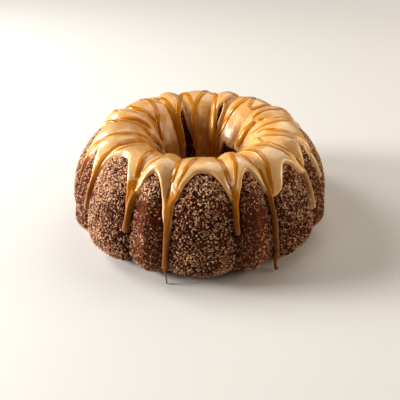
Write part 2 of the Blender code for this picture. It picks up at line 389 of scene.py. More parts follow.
def crustMaterial():
    finish = Finish("crustFinish", Roughness=0.85, Specular_IOR_Level=0.08)
    broad, middle, fine = finish.noise(22, 2), finish.noise(4.5, 3, 0.6), finish.noise(1.6, 4, 0.65)
    warm = finish.band(fine * 0.55 + middle * 0.25 + broad * 0.2, 0.42, 0.6)
    pale = finish.band(fine * 0.75 + middle * 0.25, 0.54, 0.68) * 0.6
    bare = finish.band(fine * 0.6 + middle * 0.4, 0.36, 0.56) * finish.attribute("ridge") * 0.5
    colour = finish.mix(warm, crust["dark"], crust["warm"])
    colour = finish.mix(pale, colour, crust["pale"])
    # Painted light and shade: darker where the stored sugar share is low.
    colour = finish.mix(finish.attribute("sugar") * -0.7 + 0.7, colour, crust["dark"])
    colour = finish.mix(bare, colour, crust["ridge"])
    # A painted shadow: darker along the icing's lower edge.
    finish.feed("Base Color", finish.mix(finish.attribute("margin"), colour, crust["dark"]))
    finish.bump(fine * 0.6 + finish.noise(0.8, 3) * 0.4, 1.0)
    return finish


def makeCrust():
    angles = np.linspace(0, 360, crust["columns"], endpoint=False)[:, None]
    alongs = stepped(crust["rowSteps"], sectionLength)[None, :]
    angles, alongs = np.broadcast_arrays(angles, alongs)
    wall = surfacePoint(angles, alongs, crustRelief(angles, alongs))
    wall[..., 2] = np.maximum(wall[..., 2], 0.0)
    circles = (ring["holeRadius"] + ring["holeChamfer"], *crust["footCircles"])
    foot = [placed(angles[:, :1], radius, 0 * angles[:, :1]) for radius in circles]
    points = np.concatenate([wall, *foot], axis=1)
    cells = ringCells(*points.shape[:2], True).reshape(-1, 4)
    piece = makePiece("crustBody", points.reshape(-1, 3), [cells])
    shares = {
        # the sugar share, which also holds painted light and shade
        "sugar": sugarAndLightShare(angles, alongs),
        "ridge": ridgeShare(angles, alongs),
        # a painted shadow along the icing's edge
        "margin": smoothStep(-crust["margin"], -0.4 * crust["margin"], icingCover(angles, alongs)),
    }
    for label, values in shares.items():
        onFoot = np.zeros((len(values), len(circles)))
        storeNumbers(piece, label, np.concatenate([values, onFoot], axis=1))
    return dress(piece, crustMaterial(), "cake")


# The icing's cover. Over each lobe the bare crust rises in an arch: its middle, half its width
# at the shoulder, its top and its power. The arches are listed from the front lobe round
# towards +X. A gap in the icing's inner edge is its middle, half its width and its depth.
icing = {
    "shoulder": 97.0,
    "archRadius": 115.0,       # about how far from the axis the arches lie
    "arches": (
        (1.85, 12.0, 119.2, 2.7), (24.4, 7.1, 115.6, 1.9), (47.8, 7.6, 111.3, 1.7),
        (70.0, 7.0, 115.5, 2.2), (91.5, 11.2, 116.0, 2.6), (113.8, 6.2, 113.0, 2.0),
        (136.2, 11.4, 118.0, 2.7), (158.3, 6.0, 116.0, 1.9), (180.4, 11.6, 120.0, 2.5),
        (202.2, 6.3, 117.0, 2.1), (224.1, 11.0, 115.0, 2.8), (246.6, 5.9, 116.5, 1.9),
        (268.2, 11.2, 119.5, 2.6), (290.2, 7.4, 113.2, 2.0), (312.2, 12.7, 122.0, 2.8),
        (337.1, 6.4, 117.2, 1.9),
    ),
    "waver": (9.0, 1.1, 11),   # of the outline: size, height, seed
    "onTongue": 0.25,          # how much of it the tongues and the slits have
    "onSlit": 0.3,
    "blend": 2.2,              # the fillet between the tongues and the rest
    "slitBlend": 0.8,
    "innerEdge": 208.0,        # where the icing ends in the hole
    "innerWave": (2.5, 5),     # height, waves in a turn
    "innerGaps": ((123.0, 25.0, 20.0), (129.0, 7.0, -3.5), (-40.0, 12.0, 12.0), (78.0, 9.0, 15.0)),
    "gapFlat": 0.65,           # the share of a gap's half width that has its full depth
    "thickness": 2.95,
    "uneven": ((21.0, 0.22, 12), (8.0, 0.12, 13)),
    "thinner": 1.3,            # how much of the thickness is missing over the inner shoulder
    "thinnerFrom": (122.0, 138.0),
    "thinnerTo": (165.0, 185.0),
    "fill": 2.3,               # degrees each way over which the icing levels out the grooves
    "fillEnds": (88.0, 106.0),
    "lip": 2.1,                # how far in from its edge the icing reaches its full thickness
    "tuck": 1.2,               # how far its edge is carried on under the crust
    "under": 0.5,              # and its underside below that
    "columns": 660,
    "crowd": (1.3, 2.0),       # how much closer they stand round a tongue, and within what angle
    "rowSteps": ((24.0, 90.0, 1.7), (90.0, 122.0, 0.95), (122.0, 180.0, 2.7), (180.0, 213.0, 1.6)),
    "pulled": 0.55,            # corners this near to the outline, in mm, are drawn onto it
    "runWaver": (4.0, 0.4, 14),
    "runEdge": (-0.5, 0.7),
    "lowOver": (66.0, 106.0),  # where the drizzle turns darker down the tongues
    "holeOver": (140.0, 160.0),
    "holeShadeOver": (150.0, 190.0),
    "colour": (0.89, 0.55, 0.25),
    "deep": (0.80, 0.34, 0.05),
    # painted shade: the colour the icing turns towards down the hole
    "inside": (0.36, 0.15, 0.032),
    "gold": (0.60, 0.19, 0.003),
    "brown": (0.27, 0.078, 0.006),
}

# Tongues, each as places down its middle: angle, along, half its width in mm.
tongues = [
    [(-13.2, 107, 8.7), (-13.9, 99, 6.5), (-14, 94, 5.6), (-13.9, 83, 4.6), (-13.6, 75, 3.6),
     (-13.8, 66, 2.9), (-14, 56, 2.8), (-14.4, 43, 2.6), (-14.8, 31, 2.5)],
    [(15.8, 106, 7), (16.1, 100, 3.8), (15.75, 90, 2.7), (15.45, 80, 2.5), (15.25, 72, 2.4),
     (15.35, 66, 2.5)],
    [(36.2, 105, 9), (35.9, 98, 7.8), (35.6, 95, 5.6)],
    [(33.5, 93, 1.8), (33.4, 87, 1.6), (33, 79, 1.5), (33.1, 70, 2.1), (32.7, 57, 2),
     (32.8, 43, 1.8), (33.1, 31, 2)],
    [(58.2, 106, 10.5), (58.8, 101, 7.4), (59.8, 97, 4.6), (60.6, 94.5, 2.4)],
    [(60.9, 93, 2.6), (60.5, 80, 2.2), (60, 68, 2), (59.5, 57, 2.3)],
    [(77.6, 106, 6), (78.3, 95, 3.8), (78.5, 82, 2.9), (78.5, 69, 3)],
    [(282, 106, 5.5), (281, 98, 3), (280.8, 91, 2.2), (281.2, 82, 1.5), (281.6, 73, 1.6)],
    [(298, 106, 5.6), (298.3, 97, 3.3), (298.8, 88, 2.5), (299.6, 79, 2.4), (300.1, 70, 2.9),
     (300, 60, 3.7)],
    [(327.7, 106, 7), (327.4, 96, 4.7), (327.2, 88, 3.4), (327.6, 80, 2.4), (327.7, 72, 2.5),
     (327.4, 62, 3.1)],
    [(104.9, 104, 6), (105.2, 92, 3), (105, 83, 2.7)],
    [(122.4, 106, 7), (122, 92, 3.6), (121.6, 76, 2.2), (121.4, 61, 2.8)],
    [(150, 104, 5.5), (149.6, 92, 2.8), (149.4, 83, 2.7)],
    [(166.4, 106, 7.5), (166.2, 92, 4.6), (166.2, 74, 2.8), (166, 50, 2.8)],
    [(194.2, 104, 6.5), (193.9, 92, 3.4), (193.7, 83, 2.6)],
    [(211, 106, 6.5), (210.4, 92, 3.6), (210.2, 76, 2.3), (210, 61, 2.8)],
    [(238.6, 104, 6.5), (238.4, 88, 3), (238.2, 73, 2.7)],
    [(255.4, 106, 6.5), (254.8, 90, 3.2), (254.6, 73, 2.6)],
]

# Where the drizzle has run on down a tongue and coloured it, given in the same way. The last
# eight tongues are coloured along their own lines.
runs = [
    [(-12, 103, 5.4), (-12.9, 97, 4.6), (-13.35, 91, 3.6), (-13.5, 80, 3.2), (-13.8, 66, 3.6),
     (-14, 56, 4), (-14.8, 28, 4)],
    [(15.4, 104, 3), (16.2, 98, 3.4), (15.75, 90, 3.4), (15.45, 80, 3.2), (15.35, 63, 3.6)],
    [(33, 100, 1.6), (33.4, 92, 2.6), (33, 79, 3), (32.7, 57, 3.2), (33.1, 28, 3.2)],
    [(61.4, 102, 1.8), (61.2, 95, 1.9), (61, 78, 1.7), (60.4, 55, 2)],
    [(78.6, 98, 1.6), (78.9, 82, 1.7), (78.9, 67, 2)],
    [(281, 96, 2.4), (280.8, 88, 3.2), (281.6, 70, 3.4)],
    [(299, 104, 2.6), (298.9, 90, 2.7), (299.7, 79, 3.1), (300.2, 57, 4.8)],
    [(327.6, 101, 5.6), (327.5, 96, 4.8), (327.3, 88, 3.4), (327.8, 74, 3.2), (327.5, 60, 4)],
    [(160.9, 170, 2.4), (160.2, 181, 4), (159, 200, 5)],
    [(185.9, 164, 2.4), (185.5, 180, 3.6), (184.9, 200, 4)],
] + [stroke[1:] for stroke in tongues[-8:]]

# Slits where the icing has parted in the hole, given in the same way.
slits = [
    [(197.4, 154, 0.6), (198.4, 160, 2.2), (198.3, 167, 2.6), (197.1, 176, 2.6), (195.6, 182, 3.3),
     (194.2, 188, 3.9), (193.6, 198, 5.2), (192, 214, 6.2)],
    [(155.6, 148, 0.4), (156.4, 154, 1.9), (156.4, 160, 1.5), (157, 166, 0.8), (156.3, 174, 0.5)],
    [(253.9, 171, 0.5), (249.6, 177, 1.4), (247.6, 184, 0.9)],
]


# How deep a place lies inside a band of changing width round a line, in mm: negative outside.
def insideStroke(angle, along, stroke):
    deepest = np.full(np.broadcast(angle, along).shape, -1e3)
    perDegree = np.radians(radiusAt(along))
    for (angleA, alongA, halfA), (angleB, alongB, halfB) in zip(stroke[:-1], stroke[1:]):
        across = around(angle - angleA) * perDegree
        up = along - alongA
        runAcross = around(angleB - angleA) * perDegree
        runUp = alongB - alongA
        share = np.clip((across * runAcross + up * runUp) / (runAcross ** 2 + runUp ** 2), 0, 1)
        away = np.hypot(across - share * runAcross, up - share * runUp)
        deepest = np.maximum(deepest, halfA + (halfB - halfA) * share - away)
    return deepest


# The greater of two values, with a fillet where they meet.
def softMax(first, second, blend):
    share = np.clip(0.5 + 0.5 * (first - second) / blend, 0, 1)
    return second + (first - second) * share + blend * share * (1 - share)


# How far inside the icing's outline a place is, in mm along the surface: negative on bare crust.
# The outline is that of the arches, joined with the tongues, less what lies past the inner edge
# and in the slits.
def icingCover(angle, along):
    edge = np.full(np.shape(angle), icing["shoulder"])
    slope = np.zeros(np.shape(angle))
    for middle, half, top, power in icing["arches"]:
        away = np.abs(around(angle - middle)) / half
        climb = top - icing["shoulder"]
        arch = top - climb * away ** power
        steep = climb * power * away ** (power - 1) / (half * np.radians(icing["archRadius"]))
        slope = np.where(arch > edge, steep, slope)
        edge = np.maximum(edge, arch)
    size, height, seed = icing["waver"]
    waver = height * smoothNoise(surfacePoint(angle, along), size, seed)
    cover = (along - edge + waver) / np.sqrt(1 + slope ** 2)
    for stroke in tongues:
        inStroke = insideStroke(angle, along, stroke) + icing["onTongue"] * waver
        cover = softMax(cover, inStroke, icing["blend"])
    height, waves = icing["innerWave"]
    inner = icing["innerEdge"] + height * np.sin(np.radians(angle) * waves)
    for middle, half, short in icing["innerGaps"]:
        away = np.abs(around(angle - middle))
        inner = inner - short * (1 - smoothStep(half * icing["gapFlat"], half, away))
    cover = -softMax(-cover, along - inner - waver, icing["blend"])
    for stroke in slits:
        inStroke = insideStroke(angle, along, stroke) + icing["onSlit"] * waver
        cover = -softMax(-cover, inStroke, icing["slitBlend"])
    return cover


# The icing's height over the crust: a quarter-round lip, then its full thickness, which wavers,
# is less over the inner shoulder and levels out the grooves on the wall. Outside its outline it
# dips under the crust.
def icingLift(angle, along, cover):
    inward = np.clip(cover / icing["lip"], 0, 1)
    rounded = np.sqrt(np.clip(2 * inward - inward ** 2, 0, 1))
    points = surfacePoint(angle, along)
    waver = sum(height * smoothNoise(points, size, seed) for size, height, seed in icing["uneven"])
    thinner = icing["thinner"] * smoothStep(*icing["thinnerFrom"], along)
    thinner = thinner * (1 - smoothStep(*icing["thinnerTo"], along))
    beside = fluteDepth(angle - icing["fill"], along) + fluteDepth(angle + icing["fill"], along)
    level = np.maximum(fluteDepth(angle, along) - 0.5 * beside, 0)
    level = level * (1 - smoothStep(*icing["fillEnds"], along))
    full = icing["thickness"] - thinner + waver + level
    return np.where(cover > 0, full * rounded, np.maximum(cover, -icing["tuck"]))


# Angles spaced so that more of them fall on the tongues.
def icingAngles():
    more, width = icing["crowd"]
    fine = np.linspace(0, 360, 7201)
    crowd = np.full(fine.shape, 1.0)
    for stroke in tongues:
        crowd = crowd + more * np.exp(-(around(fine - stroke[-1][0]) / width) ** 2)
    total = np.concatenate([[0.0], np.cumsum(crowd[:-1])])
    return np.interp(np.linspace(0, total[-1], icing["columns"], endpoint=False), total, fine)


def icingMaterial():
    finish = Finish(
        "icingFinish", Specular_IOR_Level=0.45, Specular_Tint=(1, 0.85, 0.6, 1),
        Subsurface_Weight=0.15, Subsurface_Radius=(1.0, 0.55, 0.25), Subsurface_Scale=0.004,
        Coat_Roughness=0.13)
    broad, middle = finish.noise(26, 2), finish.noise(6, 3)
    syrup, hole = finish.attribute("syrup"), finish.attribute("hole")
    share = finish.band(broad * 0.5 + middle * 0.5, 0.38, 0.66) * 0.6
    # Deeper amber towards the lip: partly the thin icing's own colour, partly a painted warm bounce
    # light.
    thinAndWarmBounce = 1 - finish.band(finish.attribute("height"), 0.8, 2.8)
    # Painted shade in the hole, in uneven patches.
    patch = finish.band(finish.noise(13, 3), 0.4, 0.6) * 0.5 - 0.12
    inside = finish.attribute("inner") * 0.85 + patch * hole
    colour = finish.mix(share, icing["colour"], icing["deep"])
    colour = finish.mix(thinAndWarmBounce * 0.75, colour, icing["deep"])
    colour = finish.mix(inside, colour, icing["inside"])
    amber = finish.mix(finish.attribute("low"), icing["gold"], icing["brown"])
    finish.feed("Base Color", finish.mix(syrup, colour, amber))
    finish.feed("Roughness", finish.band(middle, 0.3, 0.75) * 0.16 + 0.2 + hole * 0.15)
    finish.feed("Coat Weight", (syrup * -0.7 + 0.85) * (1 - hole * 0.6))
    finish.bump(finish.noise(2.6, 2) * 0.6 + finish.noise(7, 2) * 0.9, 0.5)
    return finish


# The icing's grid with the corners nearest its outline drawn onto the outline, so that the
# edge runs smoothly across the cells: each moves along the slope of the cover, and those that
# are farther off move less.
def icingGrid():
    alongs = stepped(icing["rowSteps"], icing["rowSteps"][-1][1])
    angles, alongs = np.broadcast_arrays(icingAngles()[:, None], alongs[None, :])
    perDegree = np.radians(radiusAt(alongs))
    cover = icingCover(angles, alongs)
    turn, slide = 0.1, 0.2     # degrees and mm each way
    across = icingCover(angles + turn, alongs) - icingCover(angles - turn, alongs)
    across = across / (2 * turn * perDegree)
    up = (icingCover(angles, alongs + slide) - icingCover(angles, alongs - slide)) / (2 * slide)
    pull = -cover * np.exp(-(cover / icing["pulled"]) ** 2) / np.maximum(across ** 2 + up ** 2, 0.3)
    return angles + pull * across / perDegree, alongs + pull * up


# The icing's top over a copy of it under the crust, joined round the edge of the cells in use.
def makeIcing():
    angles, alongs = icingGrid()
    cover = icingCover(angles, alongs)
    lift = icingLift(angles, alongs, cover)
    top = surfacePoint(angles, alongs, lift)
    under = surfacePoint(angles, alongs, np.full(lift.shape, -icing["tuck"] - icing["under"]))
    columns, rows = angles.shape
    count = columns * rows
    cells = ringCells(columns, rows, False)
    cells = cells[cover.ravel()[cells].max(axis=-1) > -icing["tuck"]]
    edges = np.concatenate([cells[:, [side, (side + 1) % 4]] for side in range(4)]).astype(np.int64)
    rim = edges[~np.isin(edges[:, 0] * count + edges[:, 1], edges[:, 1] * count + edges[:, 0])]
    rimCells = np.stack([rim[:, 1], rim[:, 0], rim[:, 0] + count, rim[:, 1] + count], axis=-1)
    faces = np.concatenate([cells, cells[:, ::-1] + count, rimCells])
    used, packed = np.unique(faces, return_inverse=True)
    points = np.concatenate([top.reshape(-1, 3), under.reshape(-1, 3)])[used]
    piece = makePiece("icingCoat", points, [packed.reshape(faces.shape)])
    inside = np.max([insideStroke(angles, alongs, stroke) for stroke in runs], axis=0)
    size, height, seed = icing["runWaver"]
    waver = height * smoothNoise(surfacePoint(angles, alongs), size, seed)
    shares = {
        "height": lift,
        "syrup": smoothStep(*icing["runEdge"], inside + waver),
        "low": 1 - smoothStep(*icing["lowOver"], alongs),
        # where the painted shade in the hole grows
        "inner": smoothStep(*icing["holeShadeOver"], alongs),
        "hole": smoothStep(*icing["holeOver"], alongs),
    }
    for label, values in shares.items():
        storeNumbers(piece, label, np.tile(values.ravel(), 2)[used])
    return dress(piece, icingMaterial(), "icing")


# Drizzle strands: places along each, as angle, along and half its width in mm.
drizzle = {
    "sides": 16,
    "step": 1.0,
    "wider": 1.3,              # all strands, but by so much less at the front
    "frontLess": 0.33,
    "front": (45.0, 95.0),
    "uneven": (12.0, 0.13),    # of the width: size, height; each strand has its own seed
    "firstSeed": 30,
    "round": 1.4,              # how long the rounded end is, by half the width
    "leastLift": 0.3,
    "eased": 9,                # steps over which the icing's height is averaged under a strand
    "rise": 0.45,              # height over half the width
    "sunk": 0.35,              # the share of its height that is sunk in the icing
    "flat": 0.6,               # below one the top is flatter than an ellipse
    # painted shade: strands turn brown down in the hole
    "inHole": (155.0, 190.0),
    "strandHoleShade": 0.75,
    "threadSteps": 24,
    "deep": (0.56, 0.18, 0.003),
    "edge": (0.70, 0.31, 0.04),
}
strands = [
    [(-42, 158, 1.8), (-39.5, 150, 2.5), (-38.2, 143, 2.7), (-36.5, 136, 2.7), (-35.3, 129, 2.7),
     (-34.4, 123, 2.6), (-33.6, 117, 2.4), (-33.2, 112, 2), (-33, 108, 1.3)],
    [(-24.5, 140, 1), (-24.8, 134, 1.3), (-25.3, 129, 1.5), (-27, 125.5, 1.7), (-29.3, 121, 1.8),
     (-30.9, 115, 1.7), (-31.8, 109, 1.2)],
    [(-12.6, 146, 1.6), (-12.8, 139, 2.3), (-12.9, 131, 2.5), (-13, 122, 2.6), (-13.6, 114, 2.5),
     (-13.7, 110, 2.2)],
    [(-1.8, 146, 1.6), (-2.8, 138, 2.2), (-4.9, 131, 2.4), (-7, 124, 2.4), (-8.6, 118, 2.2),
     (-9.9, 112, 1.8), (-10.9, 107, 1.1)],
    [(9.8, 147, 1.5), (11, 140, 2.1), (12.2, 132, 2.3), (13.4, 125, 2.3), (14.1, 116, 2.2),
     (14.7, 108, 2), (15.2, 103, 1.3)],
    [(22.6, 142, 1.4), (21.7, 136, 2), (20.6, 131, 2.2), (19.5, 123, 2.2), (18.4, 117, 1.9),
     (17.1, 110, 1.5), (16.2, 105, 1.1)],
    [(26.8, 141, 1.6), (27.3, 135, 2.1), (28.5, 128, 2.3), (30, 122, 2.3), (31.8, 117, 2.3),
     (32.4, 112, 2.3), (32.6, 105, 2.2), (33, 98, 2), (33.3, 92, 1.6)],
    [(34.5, 150, 1.5), (37, 143, 2.2), (38.5, 135, 2.7), (38.5, 127, 2.9), (37.5, 119, 2.8),
     (36.3, 111, 2.6), (35.4, 104, 2.3), (34.6, 97, 2), (33.9, 92, 1.5)],
    [(67, 151, 1.2), (61.5, 146, 1.6), (58.1, 138, 1.8), (55.6, 131, 1.9), (56.2, 124, 1.8),
     (58, 117, 1.8), (60.2, 110, 1.8), (61, 103, 1.8), (60.9, 96, 1.5)],
    [(44.5, 142, 0.9), (47.2, 138.5, 1.2), (49.4, 135, 1.4), (50.1, 131, 1.4), (50.5, 126, 1.4),
     (52.2, 121, 1.4), (53.5, 115, 1.3), (55.2, 110, 1)],
    [(86, 156, 1.2), (83.8, 150, 1.6), (80.9, 142, 1.8), (78.8, 131, 1.9), (77.4, 122, 1.8),
     (77.7, 108, 1.8), (78.4, 97, 1.6)],
    [(66, 147, 1), (66.3, 143, 1.3), (66.7, 136, 1.5), (67.6, 127, 1.5), (68, 119, 1.1)],
    [(108, 150, 1), (106.5, 146, 1.3), (103.5, 139, 1.5), (99.2, 132, 1.5), (97, 124, 1.3),
     (97.3, 119, 1)],
    [(93.5, 162, 1), (92.2, 156, 1.4), (90.7, 146, 1.6), (91.6, 136, 1.6), (92, 127, 1.5),
     (93.8, 120, 1.2)],
    [(138, 121, 1.2), (136, 127, 1.6), (133.4, 135, 1.7), (130.1, 142, 1.7), (126.7, 143, 1.7),
     (125, 137, 1.7), (124.4, 126, 1.7), (122.8, 110, 1.8), (122.1, 98, 1.6)],
    [(112.7, 154, 1.1), (113.6, 145, 1.4), (113, 134, 1.5), (111, 127, 1.3), (112.6, 118, 1)],
    [(108, 152, 1.3), (109, 156, 1.9), (110.4, 162, 2.4), (110.7, 169, 2.6), (110.4, 177, 2.4),
     (110.6, 183, 1.9)],
    [(137.6, 122, 1.3), (140.4, 130, 1.9), (140.9, 139, 2.1), (142.3, 148, 2.2), (143.9, 154, 2.2),
     (145, 160, 2.2), (147.4, 167, 2.2), (149.4, 174, 2.2), (150.7, 182, 2.2), (151.4, 190, 2.1),
     (151.8, 200, 1.9)],
    [(146.5, 117, 1.3), (149.3, 122, 1.8), (151.8, 130, 2.1), (153.6, 138, 2.1), (154.8, 146, 1.4)],
    [(168.6, 114, 1.8), (167, 126, 2.4), (165.7, 139, 2.6), (164.5, 149, 2.6), (163.5, 157, 2.6),
     (162.9, 164, 2.6), (162, 172, 2.6), (160.6, 181, 2.6), (159.2, 192, 2.5), (158.4, 203, 2.2)],
    [(172, 113, 1.8), (174.6, 122, 2.2), (177.1, 134, 2.3), (179.4, 140, 2.3), (182.1, 147, 2.3),
     (184.7, 153, 2.4), (185.8, 161, 2.4), (186.1, 169, 2.4), (185.9, 178, 2.3), (185.5, 186, 2.2),
     (185, 197, 2)],
    [(190.6, 122, 1.3), (190.1, 129, 1.8), (188.2, 136, 1.9), (187.3, 144, 1.9), (185.8, 150, 1.8),
     (184.9, 155, 1.4)],
    [(190.8, 116, 1.5), (192.5, 126, 1.9), (195.8, 140, 2), (198.9, 147, 1.9), (201.6, 153, 1.8),
     (204, 160, 1.6), (204.8, 170, 1.6), (204.6, 188, 1.5)],
    [(214.6, 119, 2), (213, 126, 2.6), (210.4, 131, 2.9), (209.6, 141, 3), (209.7, 151, 3),
     (209, 158, 3), (208.1, 164, 2.9), (208.1, 173, 2.8), (209, 184, 2.6), (209.2, 196, 2.3)],
    [(221, 122, 1.6), (221.4, 130, 2.1), (221.9, 138, 2.3), (223.6, 146, 2.3), (227, 154, 2.2),
     (230.4, 162, 2.2), (233.8, 170, 2), (237.6, 179, 1.6)],
    [(235.4, 118, 1.5), (235.6, 124, 1.9), (236, 132, 2), (235.4, 138, 2), (233.9, 143, 2),
     (233.4, 149, 1.9), (233.2, 155, 1.7), (232.4, 160, 1.3)],
    [(262.4, 132, 1.3), (260.8, 140, 1.8), (259.1, 145, 1.9), (257.2, 150, 1.9), (255, 157, 1.9),
     (254.4, 162, 1.7), (254, 167, 1.3)],
    [(255.6, 130, 1.2), (254.3, 138, 1.6), (252.6, 143, 1.7), (251.4, 147, 1.7), (250.3, 152, 1.6),
     (249, 157, 1.5), (248.6, 162, 1.1)],
    [(268, 165, 1.2), (272.6, 158, 1.6), (276.6, 153, 1.8), (278.9, 147, 1.9), (280.4, 143, 1.9),
     (281.6, 138, 1.9), (282.5, 132, 1.9), (282.8, 126, 1.9), (282.4, 120, 1.8), (281.7, 113, 1.8),
     (281.4, 105, 1.8), (281, 97, 1.5)],
    [(290, 160, 1.5), (294.3, 153, 2.3), (296.9, 146, 2.6), (298, 139, 2.7), (299.1, 133, 2.7),
     (299.9, 127, 2.7), (300, 122, 2.6), (299.6, 116, 2.5), (299, 109, 2.4), (299, 101, 2.1),
     (299, 93, 1.7)],
    [(308.5, 149, 1), (306.8, 142, 1.4), (305.8, 135, 1.6), (306.6, 129, 1.6), (306.2, 123, 1.3),
     (304.5, 118, 0.9)],
    [(98, 125, 1.3), (104, 106, 2.1), (105, 92, 1.8)],
    [(155, 122, 1.5), (150.4, 108, 2.2), (149.5, 92, 1.8)],
    [(177, 124, 1.4), (168, 108, 2.2), (166.2, 86, 2.4)],
    [(203, 121, 1.5), (196, 106, 2.1), (193.8, 92, 1.8)],
    [(224, 124, 1.6), (213, 108, 2.2), (210.4, 88, 2)],
    [(249, 124, 1.5), (239.4, 106, 2), (238.3, 86, 1.8)],
    [(266, 132, 1.6), (257, 112, 2.1), (254.8, 90, 1.9)],
]

# Threads that hang from two tongues and run down to the floor: angle, distance from the axis,
# height and half the width, all but the angle in mm.
threads = [
    [(-14.8, 120.6, 19, 1.9), (-14.6, 121.3, 15, 1.4), (-14.4, 121.5, 11, 0.9),
     (-14.1, 121.6, 6, 0.6), (-13.9, 121.8, 0.8, 0.8)],
    [(33, 120, 20, 2.3), (32.7, 120.8, 15, 1.9), (32.3, 121.1, 10, 1.5), (32.4, 121.3, 5, 1.5),
     (33, 121.4, 2.2, 2.1)],
]


# A smooth line through the places, in even steps: cubic pieces whose slope at each place is
# that of its neighbours.
def smoothRoute(places, step):
    knots = np.array(places, dtype=float)
    perDegree = np.radians(radiusAt(knots[:, 1]))
    across = np.diff(knots[:, 0]) * 0.5 * (perDegree[1:] + perDegree[:-1])
    gaps = np.hypot(across, np.diff(knots[:, 1]))
    at = np.concatenate([[0.0], np.cumsum(gaps)])
    slopes = np.gradient(knots, at, axis=0)
    where = np.linspace(0, at[-1], max(6, int(at[-1] / step)))
    piece = np.clip(np.searchsorted(at, where, side="right") - 1, 0, len(at) - 2)
    span = (at[piece + 1] - at[piece])[:, None]
    t = (where - at[piece])[:, None] / span
    start, end = knots[piece], knots[piece + 1]
    leave, arrive = slopes[piece] * span, slopes[piece + 1] * span
    line = (2 * t**3 - 3 * t**2 + 1) * start + (t**3 - 2 * t**2 + t) * leave
    return line + (3 * t**2 - 2 * t**3) * end + (t**3 - t**2) * arrive


# A flattened round section carried along a line: the section is an ellipse, its height taken to
# a power below one for a flatter top, and both ends close in a rounded point.
def sweptStrand(centres, normals, halves, rises, sides, flat=1.0):
    tangent = unit(np.gradient(centres, axis=0))
    side = unit(np.cross(normals, tangent))
    normals = np.cross(tangent, side)
    turn = np.linspace(0, 2 * np.pi, sides, endpoint=False)[None, :, None]
    bulge = np.sign(np.sin(turn)) * np.abs(np.sin(turn)) ** flat
    rings = centres[:, None, :] + np.cos(turn) * side[:, None, :] * halves[:, None, None]
    rings = rings + bulge * normals[:, None, :] * rises[:, None, None]
    steps = len(centres)
    row = np.arange(steps - 1)[:, None] * sides
    corner = np.arange(sides)
    beside = (corner + 1) % sides
    cells = [row + corner, row + beside, row + sides + beside, row + sides + corner]
    cells = np.stack(cells, axis=-1)
    first, last = np.full(sides, steps * sides), np.full(sides, steps * sides + 1)
    lastRow = (steps - 1) * sides
    tips = np.concatenate([
        np.stack([first, beside, corner], axis=-1),
        np.stack([last, lastRow + corner, lastRow + beside], axis=-1),
    ])
    points = np.concatenate([rings.reshape(-1, 3), centres[:1], centres[-1:]])
    height = np.concatenate([np.tile(bulge[0, :, 0], steps), [0, 0]])
    return points, cells.reshape(-1, 4), tips, height


def drizzleMaterial():
    finish = Finish(
        "drizzleFinish", Roughness=0.13, Specular_IOR_Level=0.3, Specular_Tint=(1, 0.72, 0.35, 1),
        Subsurface_Weight=0.1, Subsurface_Radius=(1.0, 0.4, 0.1), Subsurface_Scale=0.003,
        Coat_Roughness=0.035)
    low = finish.attribute("low")
    share = finish.band(finish.attribute("height"), 0.05, 0.7)
    share = share * (finish.band(finish.noise(9, 2), 0.25, 0.7) * 0.4 + 0.6)
    colour = finish.mix(share, drizzle["edge"], drizzle["deep"])
    finish.feed("Base Color", finish.mix(low, colour, icing["brown"]))
    finish.feed("Coat Weight", finish.band(finish.noise(26, 2), 0.42, 0.6) * (0.85 - low * 0.55))
    return finish


# A strand over the icing, with its two ends rounded off.
def strandRings(places, seed):
    angle, along, half = smoothRoute(places, drizzle["step"]).T
    points = surfacePoint(angle, along)
    index = np.arange(len(angle))
    fromEnd = np.minimum(index, index[::-1]) * drizzle["step"]
    front = 1 - smoothStep(*drizzle["front"], np.abs(around(angle)))
    size, height = drizzle["uneven"]
    half = (drizzle["wider"] - drizzle["frontLess"] * front) * half
    half = half * (1 + height * smoothNoise(points, size, seed))
    inward = np.clip(fromEnd / (drizzle["round"] * half), 0, 1)
    half = half * np.sqrt(np.clip(1 - (1 - inward) ** 2, 0.02, 1))
    eased = drizzle["eased"]
    lift = np.maximum(icingLift(angle, along, icingCover(angle, along)), drizzle["leastLift"])
    lift = np.convolve(np.pad(lift, eased // 2, mode="edge"), np.ones(eased) / eased, mode="valid")
    rise = half * drizzle["rise"]
    centres = surfacePoint(angle, along, lift - drizzle["sunk"] * half * drizzle["rise"])
    normals = surfaceNormal(angle, along)
    strand = sweptStrand(centres, normals, half, rise, drizzle["sides"], drizzle["flat"])
    low = 1 - smoothStep(*icing["lowOver"], along)
    # Painted shade in the hole.
    return *strand, low + drizzle["strandHoleShade"] * smoothStep(*drizzle["inHole"], along)


# A hanging thread, round in section.
def threadRings(places):
    knots = np.array(places)
    index = np.arange(len(knots))
    share = np.linspace(0, len(knots) - 1, drizzle["threadSteps"])
    angle, radius, height, half = (np.interp(share, index, column) for column in knots.T)
    centres, outward = placed(angle, radius, height), placed(angle, 1.0, 0 * angle)
    return *sweptStrand(centres, outward, half, half, drizzle["sides"]), np.ones(len(centres))


def makeDrizzle():
    parts = [strandRings(places, seed) for seed, places in enumerate(strands, drizzle["firstSeed"])]
    parts += [threadRings(places) for places in threads]
    points, cells, tips, heights, lows = zip(*parts)
    starts = np.concatenate([[0], np.cumsum([len(part) for part in points])[:-1]])
    cells = np.concatenate([part + start for part, start in zip(cells, starts)])
    tips = np.concatenate([part + start for part, start in zip(tips, starts)])
    piece = makePiece("drizzleStrands", np.concatenate(points), [cells, tips])
    storeNumbers(piece, "height", np.concatenate(heights))
    lows = [np.concatenate([np.repeat(low, drizzle["sides"]), low[[0, -1]]]) for low in lows]
    storeNumbers(piece, "low", np.concatenate(lows))
    return dress(piece, drizzleMaterial())


